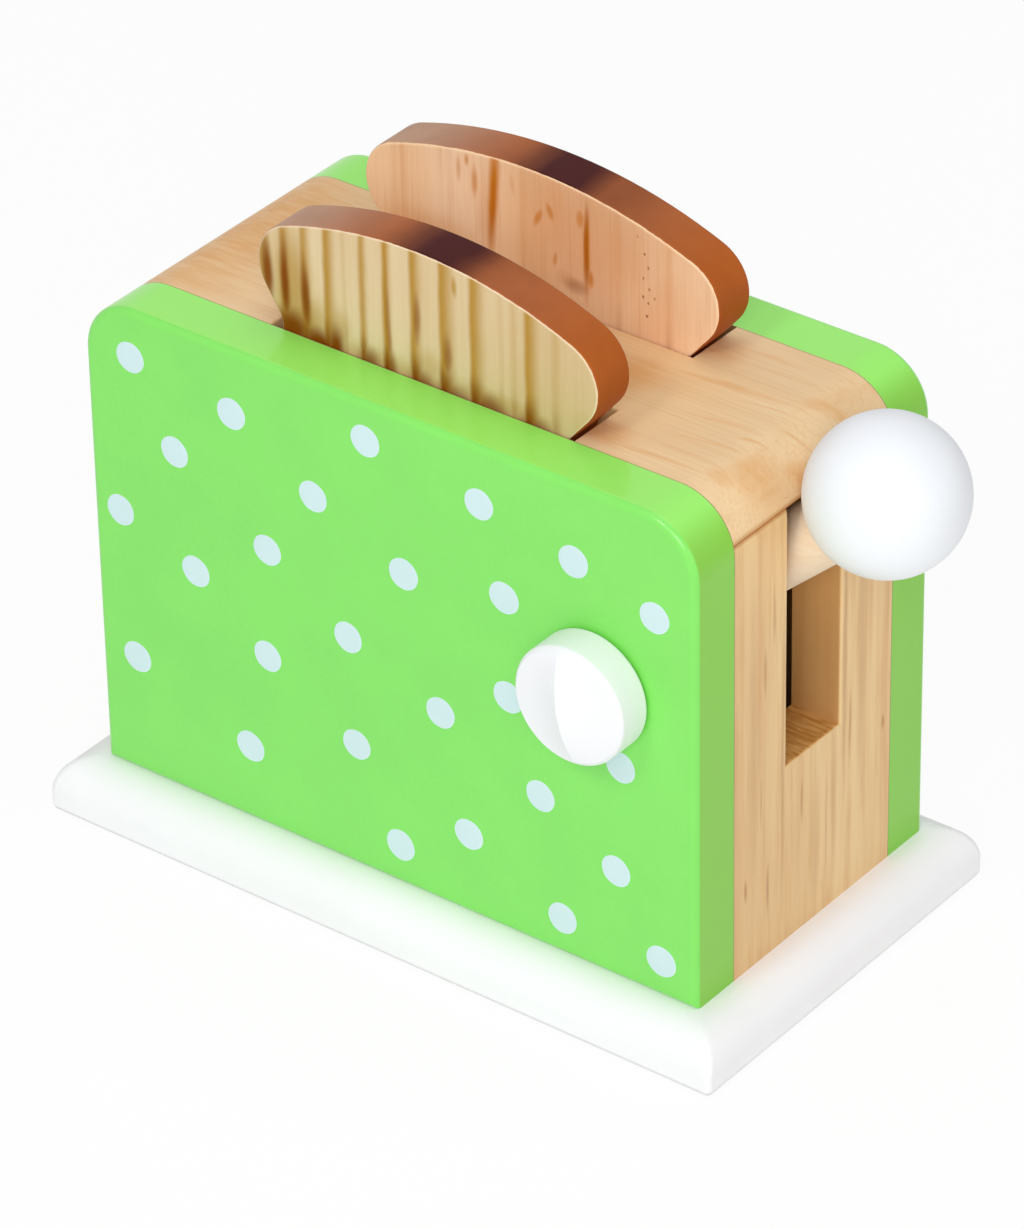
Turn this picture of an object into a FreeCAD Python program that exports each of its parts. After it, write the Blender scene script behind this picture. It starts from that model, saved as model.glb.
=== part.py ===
"""Wooden toy toaster with a rocking pop-up lever, two toast slices and a turning knob.

Millimetres. +X runs along the body towards the lever, -Y faces the front panel with the knob,
+Z is up. The origin is the centre of the base board's underside.
"""
import FreeCAD
import Part
import math
import os

# --- Body: two painted panels round a core of plain boards ---------------------------------
BODY_LENGTH = 180.0
BODY_HEIGHT = 132.5
PANEL_THICKNESS = 15.0
CORE_DEPTH = 63.0
CORNER_RADIUS = 15.0
PANEL_EDGE_RADIUS = 2.0
TOP_BLOCK_THICKNESS = 12.0
END_BOARD_THICKNESS = 14.0
EDGE_BREAK = 0.4
TOAST_SLOT_EDGE_RADIUS = 0.6
LEVER_SLOT_EDGE_RADIUS = 0.8

# --- Base board ------------------------------------------------------------------------------
BASE_THICKNESS = 15.0
BASE_OVERHANG_ENDS = 11.0
BASE_OVERHANG_SIDES = 10.0
BASE_TOP_RADIUS = 9.0
BASE_BOTTOM_RADIUS = 2.0
BASE_CORNER_RADIUS = 1.5

# --- Toast slots and slices ------------------------------------------------------------------
SLOT_END_MARGIN = 45.5
SLOT_PLAY = 4.2
TOAST_THICKNESS = 12.5
TOAST_END_GAP = 3.0
FRONT_TOAST_SHIFT = 0.25
FRONT_TOAST_LEFT_OVERHANG = 6.65
FRONT_TOAST_LEFT_NECK_ANGLE = 58.0
FRONT_TOAST_RIGHT_OVERHANG = 9.6
FRONT_TOAST_MOUTH_GAP = 1.03
BACK_TOAST_SHIFT = -0.2
BACK_TOAST_LEFT_OVERHANG = 10.8
BACK_TOAST_LEFT_NECK_ANGLE = 51.0
BACK_TOAST_RIGHT_OVERHANG = 10.5
BACK_TOAST_MOUTH_GAP = 0.53
TOAST_LOBE_RADIUS = 12.0
TOAST_LOBE_LEAN = 2.8
TOAST_CROWN_RISE = 19.0
TOAST_RIGHT_NECK_ANGLE = 50.0
TOAST_NECK_RADIUS = 6.0
TOAST_FOOT_RADIUS = 6.0
TOAST_EDGE_RADIUS = 0.8
TOAST_SIDE_GAP = 0.3
TOAST_FOOT_GAP = 0.2

# --- Lever: a straight dowel that rocks on a cross pin ------------------------------------------
LEVER_DIAMETER = 17.0
LEVER_REST_ANGLE = 42.0
LEVER_SWING = 60.0
LEVER_SIDE_PLAY = 2.25
LEVER_TOP_GAP = 0.7
LEVER_FLOOR_GAP = 0.9
BALL_DIAMETER = 39.0
BALL_GAP = 0.2
BALL_SOCKET_DEPTH = 14.0
PIVOT_TO_SLOT = 5.75
LIFT_ARM = 32.0
LEVER_TAIL = 2.0
PIVOT_PIN_DIAMETER = 8.0
LIFT_BAR_DIAMETER = 8.0
LIFT_BAR_LENGTH = 46.0
SPACER_DIAMETER = 12.0
SPACER_GAP = 0.4
PIN_SEAT_DEPTH = 8.0
RUNNING_GAP = 0.08

# --- Lift board, which both slices stand on -------------------------------------------------------
LIFT_BOARD_THICKNESS = 10.0
LIFT_BOARD_SIDE_GAP = 0.8
LIFT_BOARD_PIN_GAP = 6.0
LIFT_BOARD_MARGIN = 4.5
LIFT_GROOVE_DEPTH = 3.0
LIFT_GROOVE_PLAY = 0.5
LIFT_BAR_GAP = 0.2
LEVER_NOTCH_PLAY = 1.25
GUIDE_POST_DIAMETER = 8.0
GUIDE_POST_INSET = 11.0
GUIDE_POST_TO_NOTCH = 15.5
GUIDE_POST_SEAT = 5.0

# --- Knob ----------------------------------------------------------------------------------------
KNOB_DIAMETER = 31.0
KNOB_BESIDE_PIVOT = 11.15
KNOB_ABOVE_PIVOT = 7.43
KNOB_RIM_DEPTH = 10.0
KNOB_CREST_RISE = 4.2
KNOB_FLANK_ANGLE = 24.0
KNOB_REST_TURN = 9.0
KNOB_FRONT_RADIUS = 1.2
KNOB_BACK_RADIUS = 0.8
KNOB_SOCKET_DEPTH = 7.0
AXLE_DIAMETER = 8.0
WASHER_DIAMETER = 20.0
WASHER_THICKNESS = 0.5
WASHER_GAP = 0.1
RETAINER_DIAMETER = 13.0
RETAINER_THICKNESS = 3.0
RETAINER_GAP = 0.3

# --- Fasteners --------------------------------------------------------------------------------------
DOWEL_DIAMETER = 6.0
DOWEL_IN_PANEL = 8.0
DOWEL_IN_BOARD = 16.0
DOWEL_IN_TOP = 7.0
DOWEL_INSET = 26.0
SCREW_SHANK_DIAMETER = 3.8
SCREW_HEAD_DIAMETER = 8.0
SCREW_HEAD_HEIGHT = 2.6
SCREW_RECESS = 0.8
SCREW_DRIVE_WIDTH = 2.6
SCREW_DRIVE_DEPTH = 1.3
SCREW_DEPTH = 20.0
END_SCREW_SPREAD = 36.0
PANEL_SCREW_SPREAD = 108.0

# --- Places worked out from the sizes above ---------------------------------------------------------
FLOOR_Z = BASE_THICKNESS
TOP_Z = FLOOR_Z + BODY_HEIGHT
SEAM_Z = TOP_Z - TOP_BLOCK_THICKNESS
HALF_LENGTH = BODY_LENGTH / 2
HALF_CORE = CORE_DEPTH / 2
HALF_DEPTH = HALF_CORE + PANEL_THICKNESS
END_INNER_X = HALF_LENGTH - END_BOARD_THICKNESS
END_MIDDLE_X = HALF_LENGTH - END_BOARD_THICKNESS / 2
PANEL_MIDDLE_Y = HALF_CORE + PANEL_THICKNESS / 2

SLOT_LENGTH = BODY_LENGTH - 2 * SLOT_END_MARGIN
SLOT_WIDTH = TOAST_SIDE_GAP + TOAST_THICKNESS + SLOT_PLAY
SLOT_INNER_Y = HALF_CORE - SLOT_WIDTH
TOAST_WAIST_WIDTH = SLOT_LENGTH - 2 * TOAST_END_GAP
FRONT_TOAST_Y = -HALF_CORE + TOAST_SIDE_GAP
BACK_TOAST_Y = SLOT_INNER_Y + TOAST_SIDE_GAP

# At rest the lever's upper side clears the top block where it leaves the body. At the end of its
# swing its lower side clears the floor of its slot at the same face.
LEVER_ANGLE = math.radians(LEVER_REST_ANGLE)
LEVER_LOW_ANGLE = math.radians(LEVER_REST_ANGLE - LEVER_SWING)
LEVER_DIRECTION = FreeCAD.Vector(math.cos(LEVER_ANGLE), 0, math.sin(LEVER_ANGLE))
LEVER_EXIT_Z = SEAM_Z - LEVER_TOP_GAP - LEVER_DIAMETER / 2 / math.cos(LEVER_ANGLE)
PIVOT_X = SLOT_LENGTH / 2 + PIVOT_TO_SLOT
PIVOT_Z = LEVER_EXIT_Z - (HALF_LENGTH - PIVOT_X) * math.tan(LEVER_ANGLE)
PIVOT = FreeCAD.Vector(PIVOT_X, 0, PIVOT_Z)
BALL_REACH = BALL_DIAMETER / 2 + BALL_GAP
PIVOT_ARM = (HALF_LENGTH + BALL_REACH - PIVOT_X) / math.cos(LEVER_ANGLE)
BALL_CENTRE = PIVOT + LEVER_DIRECTION * PIVOT_ARM
LIFT_BAR_CENTRE = PIVOT - LEVER_DIRECTION * LIFT_ARM
LEVER_LOW_Z = PIVOT_Z + (HALF_LENGTH - PIVOT_X) * math.tan(LEVER_LOW_ANGLE)
LEVER_SLOT_WIDTH = LEVER_DIAMETER + 2 * LEVER_SIDE_PLAY
LEVER_SLOT_FLOOR = LEVER_LOW_Z - LEVER_DIAMETER / 2 / math.cos(LEVER_LOW_ANGLE) - LEVER_FLOOR_GAP

LIFT_BOARD_Z = LIFT_BAR_CENTRE.z + LIFT_BAR_DIAMETER / 2 + LIFT_BAR_GAP
LIFT_BOARD_LEFT = -TOAST_WAIST_WIDTH / 2 - LIFT_BOARD_MARGIN
LIFT_BOARD_RIGHT = PIVOT_X - SPACER_DIAMETER / 2 - LIFT_BOARD_PIN_GAP
TOAST_FOOT_Z = LIFT_BOARD_Z + LIFT_BOARD_THICKNESS - LIFT_GROOVE_DEPTH + TOAST_FOOT_GAP
NOTCH_END_X = PIVOT_X - LIFT_ARM - LEVER_TAIL - LEVER_DIAMETER / 2 - LEVER_NOTCH_PLAY
GUIDE_POST_XS = [NOTCH_END_X - GUIDE_POST_TO_NOTCH, LIFT_BOARD_LEFT + GUIDE_POST_INSET]

KNOB_X = PIVOT_X + KNOB_BESIDE_PIVOT
KNOB_CENTRE = FreeCAD.Vector(KNOB_X, -HALF_DEPTH, PIVOT_Z + KNOB_ABOVE_PIVOT)

X_AXIS = FreeCAD.Vector(1, 0, 0)
Y_AXIS = FreeCAD.Vector(0, 1, 0)
Z_AXIS = FreeCAD.Vector(0, 0, 1)


def vec(x, y, z):
    return FreeCAD.Vector(x, y, z)


def block(x_low, x_high, y_low, y_high, z_low, z_high):
    """A rectangular block between two opposite corners."""
    corner = vec(x_low, y_low, z_low)
    return Part.makeBox(x_high - x_low, y_high - y_low, z_high - z_low, corner)


def rod(diameter, start, direction, length):
    """A round bar that starts at a point and runs along a direction."""
    return Part.makeCylinder(diameter / 2, length, start, direction)


def fillet_where(shape, radius, wanted):
    """Rounds the edges whose bounding box passes the test."""
    edges = [edge for edge in shape.Edges if wanted(edge.BoundBox)]
    return shape.makeFillet(radius, edges)


def same(value, target):
    return abs(value - target) < 1e-4


# --- Body boards ---------------------------------------------------------------------------------

def body_profile(y_low, y_high):
    """The side view of the body, with rounded top corners, as a slab between two depths."""
    left = -HALF_LENGTH
    right = HALF_LENGTH
    shoulder = TOP_Z - CORNER_RADIUS
    inset = CORNER_RADIUS * (1 - math.sqrt(0.5))
    left_arc = Part.Arc(
        vec(left, y_low, shoulder),
        vec(left + inset, y_low, TOP_Z - inset),
        vec(left + CORNER_RADIUS, y_low, TOP_Z),
    )
    right_arc = Part.Arc(
        vec(right - CORNER_RADIUS, y_low, TOP_Z),
        vec(right - inset, y_low, TOP_Z - inset),
        vec(right, y_low, shoulder),
    )
    wire = Part.Wire([
        Part.makeLine(vec(left, y_low, FLOOR_Z), vec(left, y_low, shoulder)),
        left_arc.toShape(),
        Part.makeLine(vec(left + CORNER_RADIUS, y_low, TOP_Z), vec(right - CORNER_RADIUS, y_low, TOP_Z)),
        right_arc.toShape(),
        Part.makeLine(vec(right, y_low, shoulder), vec(right, y_low, FLOOR_Z)),
        Part.makeLine(vec(right, y_low, FLOOR_Z), vec(left, y_low, FLOOR_Z)),
    ])
    return Part.Face(wire).extrude(vec(0, y_high - y_low, 0))


def panel_dowel_heights():
    return [FLOOR_Z + DOWEL_INSET, SEAM_Z - DOWEL_INSET]


def panel_dowels(side):
    """Dowels across the glue line between one panel (side -1 front, +1 back) and the end boards."""
    start_y = side * (HALF_CORE + DOWEL_IN_PANEL)
    length = DOWEL_IN_PANEL + DOWEL_IN_BOARD
    rods = []
    for x in (-END_MIDDLE_X, END_MIDDLE_X):
        for z in panel_dowel_heights():
            rods.append(rod(DOWEL_DIAMETER, vec(x, start_y, z), vec(0, -side, 0), length))
    return Part.makeCompound(rods)


def top_dowels():
    """Dowels across the glue line between the top block and the end boards, beside the lever slot."""
    beside_slot_y = (HALF_CORE + LEVER_SLOT_WIDTH / 2) / 2
    start_z = SEAM_Z + DOWEL_IN_TOP
    rods = []
    for x in (-END_MIDDLE_X, END_MIDDLE_X):
        for y in (-beside_slot_y, beside_slot_y):
            rods.append(rod(DOWEL_DIAMETER, vec(x, y, start_z), -Z_AXIS, DOWEL_IN_TOP + DOWEL_IN_BOARD))
    return Part.makeCompound(rods)


def screw_places():
    """Two screws into the foot of each end board and of each panel."""
    places = []
    for x_side in (-1, 1):
        for y_side in (-1, 1):
            places.append((x_side * END_MIDDLE_X, y_side * END_SCREW_SPREAD / 2))
            places.append((x_side * PANEL_SCREW_SPREAD / 2, y_side * PANEL_MIDDLE_Y))
    return places


def screw(x, y):
    """A countersunk wood screw, head down, with a square drive recess."""
    head_z = SCREW_RECESS
    head = Part.makeCone(
        SCREW_HEAD_DIAMETER / 2, SCREW_SHANK_DIAMETER / 2, SCREW_HEAD_HEIGHT, vec(x, y, head_z)
    )
    shank_length = BASE_THICKNESS + SCREW_DEPTH - head_z - SCREW_HEAD_HEIGHT
    shank = rod(SCREW_SHANK_DIAMETER, vec(x, y, head_z + SCREW_HEAD_HEIGHT), Z_AXIS, shank_length)
    half_drive = SCREW_DRIVE_WIDTH / 2
    drive = block(
        x - half_drive, x + half_drive, y - half_drive, y + half_drive, head_z, head_z + SCREW_DRIVE_DEPTH
    )
    return head.fuse(shank).removeSplitter().cut(drive)


def base_screws():
    return Part.makeCompound([screw(x, y) for x, y in screw_places()])


def screw_holes():
    """The countersunk holes that the screws fill, open at the underside."""
    holes = []
    for x, y in screw_places():
        head_z = SCREW_RECESS
        mouth = rod(SCREW_HEAD_DIAMETER, vec(x, y, 0), Z_AXIS, head_z)
        cone = Part.makeCone(
            SCREW_HEAD_DIAMETER / 2, SCREW_SHANK_DIAMETER / 2, SCREW_HEAD_HEIGHT, vec(x, y, head_z)
        )
        bore_start = vec(x, y, head_z + SCREW_HEAD_HEIGHT)
        bore_length = BASE_THICKNESS + SCREW_DEPTH - head_z - SCREW_HEAD_HEIGHT
        bore = rod(SCREW_SHANK_DIAMETER, bore_start, Z_AXIS, bore_length)
        holes += [mouth, cone, bore]
    return holes


def guide_post(x):
    """A dowel that the lift board runs on, seated in the base board and the top block."""
    length = SEAM_Z - FLOOR_Z + 2 * GUIDE_POST_SEAT
    return rod(GUIDE_POST_DIAMETER, vec(x, 0, FLOOR_Z - GUIDE_POST_SEAT), Z_AXIS, length)


def pivot_pin():
    """The cross pin that the lever rocks on, seated in blind holes in both panels."""
    half_length = HALF_CORE + PIN_SEAT_DEPTH
    return rod(PIVOT_PIN_DIAMETER, vec(PIVOT.x, -half_length, PIVOT.z), Y_AXIS, 2 * half_length)


def axle_bore():
    """The hole through the front panel that the knob's axle turns in."""
    diameter = AXLE_DIAMETER + 2 * RUNNING_GAP
    return rod(diameter, KNOB_CENTRE, Y_AXIS, PANEL_THICKNESS)


def base_board():
    half_x = HALF_LENGTH + BASE_OVERHANG_ENDS
    half_y = HALF_DEPTH + BASE_OVERHANG_SIDES
    board = block(-half_x, half_x, -half_y, half_y, 0, BASE_THICKNESS)
    board = fillet_where(board, BASE_CORNER_RADIUS, lambda box: box.ZLength > BASE_THICKNESS / 2)
    board = fillet_where(board, BASE_TOP_RADIUS, lambda box: same(box.ZMin, BASE_THICKNESS))
    board = fillet_where(board, BASE_BOTTOM_RADIUS, lambda box: same(box.ZMax, 0))
    return board.cut(screw_holes() + [guide_post(x) for x in GUIDE_POST_XS])


def panel(side):
    """One painted side panel, -1 for the front and +1 for the back."""
    inner = side * HALF_CORE
    outer = side * HALF_DEPTH
    slab = body_profile(min(inner, outer), max(inner, outer))
    slab = fillet_where(slab, PANEL_EDGE_RADIUS, lambda box: same(box.YMin, outer) and same(box.YLength, 0))
    slab = slab.cut([panel_dowels(side), pivot_pin()] + screw_holes())
    return slab.cut(axle_bore()) if side < 0 else slab


def seam_edge(box):
    """True for a cross edge at the outer end of the glue line between end board and top block."""
    at_outer_end = min(abs(box.XMin), abs(box.XMax)) > END_MIDDLE_X
    return at_outer_end and same(box.ZMin, SEAM_Z) and same(box.ZLength, 0)


def top_block():
    """The loaf-ended top board, notched along both long sides for the slices."""
    slab = body_profile(-HALF_CORE, HALF_CORE)
    slab = slab.common(block(-HALF_LENGTH, HALF_LENGTH, -HALF_CORE, HALF_CORE, SEAM_Z, TOP_Z))
    half_slot = SLOT_LENGTH / 2
    for y_low, y_high in ((-HALF_CORE, -SLOT_INNER_Y), (SLOT_INNER_Y, HALF_CORE)):
        slab = slab.cut(block(-half_slot, half_slot, y_low, y_high, SEAM_Z, TOP_Z))

    def mouth_edge(box):
        on_top = same(box.ZMin, TOP_Z) and same(box.ZLength, 0)
        return on_top and max(-box.XMin, box.XMax) < half_slot + EDGE_BREAK

    slab = fillet_where(slab, TOAST_SLOT_EDGE_RADIUS, mouth_edge)
    slab = fillet_where(slab, EDGE_BREAK, seam_edge)
    return slab.cut([top_dowels()] + [guide_post(x) for x in GUIDE_POST_XS])


def end_board(side):
    """A core end board between the panels; side +1 has the lever slot."""
    slab = body_profile(-HALF_CORE, HALF_CORE)
    x_low = min(side * END_INNER_X, side * HALF_LENGTH)
    x_high = max(side * END_INNER_X, side * HALF_LENGTH)
    slab = slab.common(block(x_low, x_high, -HALF_CORE, HALF_CORE, FLOOR_Z, SEAM_Z))
    if side > 0:
        half_slot = LEVER_SLOT_WIDTH / 2
        slab = slab.cut(block(x_low, x_high, -half_slot, half_slot, LEVER_SLOT_FLOOR, SEAM_Z))

        def mouth_edge(box):
            on_face = same(box.XMin, HALF_LENGTH) and same(box.XLength, 0)
            return on_face and max(-box.YMin, box.YMax) < half_slot + EDGE_BREAK

        slab = fillet_where(slab, LEVER_SLOT_EDGE_RADIUS, mouth_edge)
    slab = fillet_where(slab, EDGE_BREAK, seam_edge)
    return slab.cut([panel_dowels(-1), panel_dowels(1), top_dowels()] + screw_holes())


# --- Lever ---------------------------------------------------------------------------------------

def lever_arm():
    """The rocking dowel: its outer end fills the ball's socket, its inner end is rounded."""
    tail_centre = LIFT_BAR_CENTRE - LEVER_DIRECTION * LEVER_TAIL
    socket_end = BALL_DIAMETER / 2 - BALL_SOCKET_DEPTH
    length = PIVOT_ARM + LIFT_ARM + LEVER_TAIL - socket_end
    arm = rod(LEVER_DIAMETER, tail_centre, LEVER_DIRECTION, length)
    arm = arm.fuse(Part.makeSphere(LEVER_DIAMETER / 2, tail_centre)).removeSplitter()
    bore_diameter = PIVOT_PIN_DIAMETER + 2 * RUNNING_GAP
    bore = rod(bore_diameter, PIVOT - Y_AXIS * LEVER_DIAMETER, Y_AXIS, 2 * LEVER_DIAMETER)
    return arm.cut([bore, lift_bar()])


def lever_ball():
    ball = Part.makeSphere(BALL_DIAMETER / 2, BALL_CENTRE)
    socket_end = BALL_DIAMETER / 2 - BALL_SOCKET_DEPTH
    socket_start = BALL_CENTRE - LEVER_DIRECTION * socket_end
    return ball.cut(rod(LEVER_DIAMETER, socket_start, -LEVER_DIRECTION, BALL_DIAMETER))


def lift_bar():
    """The cross bar in the lever's inner end, which pushes the lift board up."""
    start = LIFT_BAR_CENTRE - Y_AXIS * (LIFT_BAR_LENGTH / 2)
    return rod(LIFT_BAR_DIAMETER, start, Y_AXIS, LIFT_BAR_LENGTH)


def pivot_spacer(side):
    """A sleeve on the pivot pin that keeps the lever in the middle of its slot."""
    inner = LEVER_DIAMETER / 2 + SPACER_GAP
    length = HALF_CORE - inner
    start = vec(PIVOT.x, side * inner, PIVOT.z)
    sleeve = rod(SPACER_DIAMETER, start, vec(0, side, 0), length)
    return sleeve.cut(pivot_pin())


# --- Lift board and slices -------------------------------------------------------------------------

def lift_board():
    """A forked board: a groove under each slice, a notch for the lever and two guide holes."""
    half_y = HALF_CORE - LIFT_BOARD_SIDE_GAP
    left = LIFT_BOARD_LEFT
    right = LIFT_BOARD_RIGHT
    top = LIFT_BOARD_Z + LIFT_BOARD_THICKNESS
    board = block(left, right, -half_y, half_y, LIFT_BOARD_Z, top)
    groove_width = TOAST_THICKNESS + LIFT_GROOVE_PLAY
    groove_z = top - LIFT_GROOVE_DEPTH
    front_groove = block(left, right, -half_y, FRONT_TOAST_Y + groove_width, groove_z, top)
    back_start = BACK_TOAST_Y - LIFT_GROOVE_PLAY
    back_groove = block(left, right, back_start, BACK_TOAST_Y + groove_width, groove_z, top)
    half_notch = LEVER_DIAMETER / 2 + LEVER_NOTCH_PLAY
    notch = block(NOTCH_END_X, right, -half_notch, half_notch, LIFT_BOARD_Z, top)
    board = board.cut([front_groove, back_groove, notch])
    hole_diameter = GUIDE_POST_DIAMETER + 2 * RUNNING_GAP
    for x in GUIDE_POST_XS:
        board = board.cut(rod(hole_diameter, vec(x, 0, LIFT_BOARD_Z), Z_AXIS, LIFT_BOARD_THICKNESS))
    return board


def toast_outline(centre_x, left_overhang, left_neck_angle, right_overhang, mouth_gap, y):
    """A bread slice seen from the front: crown arc, two lobes, slanted necks, straight waist."""
    radius = TOAST_LOBE_RADIUS
    necks = {-1: math.radians(left_neck_angle), 1: math.radians(TOAST_RIGHT_NECK_ANGLE)}
    overhangs = {-1: left_overhang, 1: right_overhang}
    waists = {}
    lobe_xs = {}
    for side in (-1, 1):
        waists[side] = centre_x + side * TOAST_WAIST_WIDTH / 2
        lobe_xs[side] = waists[side] + side * (overhangs[side] - radius)
    # The right neck passes the end of the slot's mouth at the wanted gap.
    neck_run = lobe_xs[1] + radius * math.sin(necks[1]) - (SLOT_LENGTH / 2 - mouth_gap)
    lobe_z = TOP_Z + neck_run * math.tan(necks[1]) + radius * math.cos(necks[1])
    lobes = {-1: vec(lobe_xs[-1], y, lobe_z + TOAST_LOBE_LEAN), 1: vec(lobe_xs[1], y, lobe_z)}
    # The crown is the arc of the wanted rise that runs smoothly into both lobes.
    chord = lobes[1] - lobes[-1]
    half_chord = chord.Length / 2
    excess = TOAST_CROWN_RISE - radius
    crown_reach = (excess ** 2 + half_chord ** 2) / (2 * excess)
    across = chord * (1 / chord.Length)
    down = vec(across.z, 0, -across.x)
    middle = (lobes[-1] + lobes[1]) * 0.5
    crown_centre = middle + down * math.sqrt(crown_reach ** 2 - half_chord ** 2)
    crown_radius = crown_reach + radius
    crown_top = crown_centre - down * crown_radius
    points = {}
    for side, lobe in lobes.items():
        neck = necks[side]
        outward = (lobe - crown_centre) * (1 / crown_reach)
        leave = lobe + vec(side * math.sin(neck), 0, -math.cos(neck)) * radius
        waist_z = leave.z - (leave.x - waists[side]) * side * math.tan(neck)
        points[side] = {
            "shoulder": lobe + outward * radius,
            "widest": lobe + vec(side * radius, 0, 0),
            "leave": leave,
            "waist": vec(waists[side], y, waist_z),
            "foot": vec(waists[side], y, TOAST_FOOT_Z),
        }
    left = points[-1]
    right = points[1]
    return Part.Wire([
        Part.Arc(left["shoulder"], crown_top, right["shoulder"]).toShape(),
        Part.Arc(right["shoulder"], right["widest"], right["leave"]).toShape(),
        Part.makeLine(right["leave"], right["waist"]),
        Part.makeLine(right["waist"], right["foot"]),
        Part.makeLine(right["foot"], left["foot"]),
        Part.makeLine(left["foot"], left["waist"]),
        Part.makeLine(left["waist"], left["leave"]),
        Part.Arc(left["leave"], left["widest"], left["shoulder"]).toShape(),
    ])


def toast(outline, centre_x):
    """One slice of toast with the given outline, whose waist is centred at centre_x."""
    slab = Part.Face(outline).extrude(vec(0, TOAST_THICKNESS, 0))

    def waist_corner(box):
        on_waist = same(abs(box.XMin - centre_x), TOAST_WAIST_WIDTH / 2)
        return on_waist and same(box.XLength, 0) and same(box.ZLength, 0)

    def at_foot(box):
        return same(box.ZMin, TOAST_FOOT_Z)

    slab = fillet_where(slab, TOAST_NECK_RADIUS, lambda box: waist_corner(box) and not at_foot(box))
    slab = fillet_where(slab, TOAST_FOOT_RADIUS, lambda box: waist_corner(box) and at_foot(box))
    return fillet_where(slab, TOAST_EDGE_RADIUS, lambda box: same(box.YLength, 0))


def front_toast():
    outline = toast_outline(
        FRONT_TOAST_SHIFT, FRONT_TOAST_LEFT_OVERHANG, FRONT_TOAST_LEFT_NECK_ANGLE,
        FRONT_TOAST_RIGHT_OVERHANG, FRONT_TOAST_MOUTH_GAP, FRONT_TOAST_Y
    )
    return toast(outline, FRONT_TOAST_SHIFT)


def back_toast():
    outline = toast_outline(
        BACK_TOAST_SHIFT, BACK_TOAST_LEFT_OVERHANG, BACK_TOAST_LEFT_NECK_ANGLE,
        BACK_TOAST_RIGHT_OVERHANG, BACK_TOAST_MOUTH_GAP, BACK_TOAST_Y
    )
    return toast(outline, BACK_TOAST_SHIFT)


# --- Knob ----------------------------------------------------------------------------------------

def knob_height(x, z):
    """Height of the knob's front over its rim, from its centre: an arched crest and two hollow flanks."""
    reach = KNOB_DIAMETER / 2
    arch = KNOB_CREST_RISE * (1 - (z / reach) ** 2)
    fall = math.tan(math.radians(KNOB_FLANK_ANGLE)) * x
    # Close to the rim the fall gives way to a level edge, so that the crest runs out into it.
    nearness = (x ** 2 + z ** 2) / reach ** 2
    return arch - fall + nearness * (fall - KNOB_CREST_RISE * (x / reach) ** 2)


def knob_flank_cutter(rim_y):
    """All that lies in front of the flank on the lever's side of the crest."""
    span = KNOB_DIAMETER / 2 * 1.05
    rows = []
    for across in range(5):
        x = span * across / 4
        row = []
        for up in range(-2, 3):
            z = span * up / 2
            row.append(vec(KNOB_X + x, rim_y - knob_height(x, z), KNOB_CENTRE.z + z))
        rows.append(row)
    surface = Part.BSplineSurface()
    surface.interpolate(rows)
    return surface.toShape().extrude(-Y_AXIS * KNOB_DIAMETER)


def knob():
    """A turned disc whose front rises from its rim over two hollow flanks to an arched crest."""
    back_y = KNOB_CENTRE.y - WASHER_GAP - WASHER_THICKNESS
    rim_y = back_y - KNOB_RIM_DEPTH
    radius = KNOB_DIAMETER / 2
    side_x = KNOB_X + radius
    axis_z = KNOB_CENTRE.z
    # The turned blank has a rounded front edge and a cone inside it, from which the front is cut.
    corner = vec(side_x - KNOB_FRONT_RADIUS, rim_y + KNOB_FRONT_RADIUS, axis_z)
    arc_points = []
    for angle in (0, math.pi / 8, math.pi / 4):
        arc_points.append(corner + vec(math.cos(angle), -math.sin(angle), 0) * KNOB_FRONT_RADIUS)
    cone_tip = vec(KNOB_X, arc_points[2].y - (arc_points[2].x - KNOB_X), axis_z)
    back_centre = vec(KNOB_X, back_y, axis_z)
    back_corner = vec(side_x, back_y, axis_z)
    outline = Part.Wire([
        Part.makeLine(back_centre, back_corner),
        Part.makeLine(back_corner, arc_points[0]),
        Part.Arc(*arc_points).toShape(),
        Part.makeLine(arc_points[2], cone_tip),
        Part.makeLine(cone_tip, back_centre),
    ])
    disc = Part.Face(outline).revolve(back_centre, Y_AXIS, 360)
    disc = fillet_where(disc, KNOB_BACK_RADIUS, lambda box: same(box.YMin, back_y) and same(box.YLength, 0))
    flank = knob_flank_cutter(rim_y)
    disc = disc.cut([flank, flank.mirror(back_centre, X_AXIS)])
    disc = disc.cut(rod(AXLE_DIAMETER, back_centre, -Y_AXIS, KNOB_SOCKET_DEPTH))
    disc.rotate(KNOB_CENTRE, Y_AXIS, -KNOB_REST_TURN)
    return disc


def knob_axle():
    start_y = KNOB_CENTRE.y - WASHER_GAP - WASHER_THICKNESS - KNOB_SOCKET_DEPTH
    end_y = -HALF_CORE + RETAINER_GAP + RETAINER_THICKNESS
    return rod(AXLE_DIAMETER, vec(KNOB_X, start_y, KNOB_CENTRE.z), Y_AXIS, end_y - start_y)


def ring(diameter, thickness, y):
    """A flat ring round the knob's axle, from a depth towards the back."""
    disc = rod(diameter, vec(KNOB_X, y, KNOB_CENTRE.z), Y_AXIS, thickness)
    return disc.cut(rod(AXLE_DIAMETER, vec(KNOB_X, y, KNOB_CENTRE.z), Y_AXIS, thickness))


def knob_washer():
    return ring(WASHER_DIAMETER, WASHER_THICKNESS, KNOB_CENTRE.y - WASHER_GAP - WASHER_THICKNESS)


def knob_retainer():
    return ring(RETAINER_DIAMETER, RETAINER_THICKNESS, -HALF_CORE + RETAINER_GAP)


# --- Every node ------------------------------------------------------------------------------------

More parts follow.
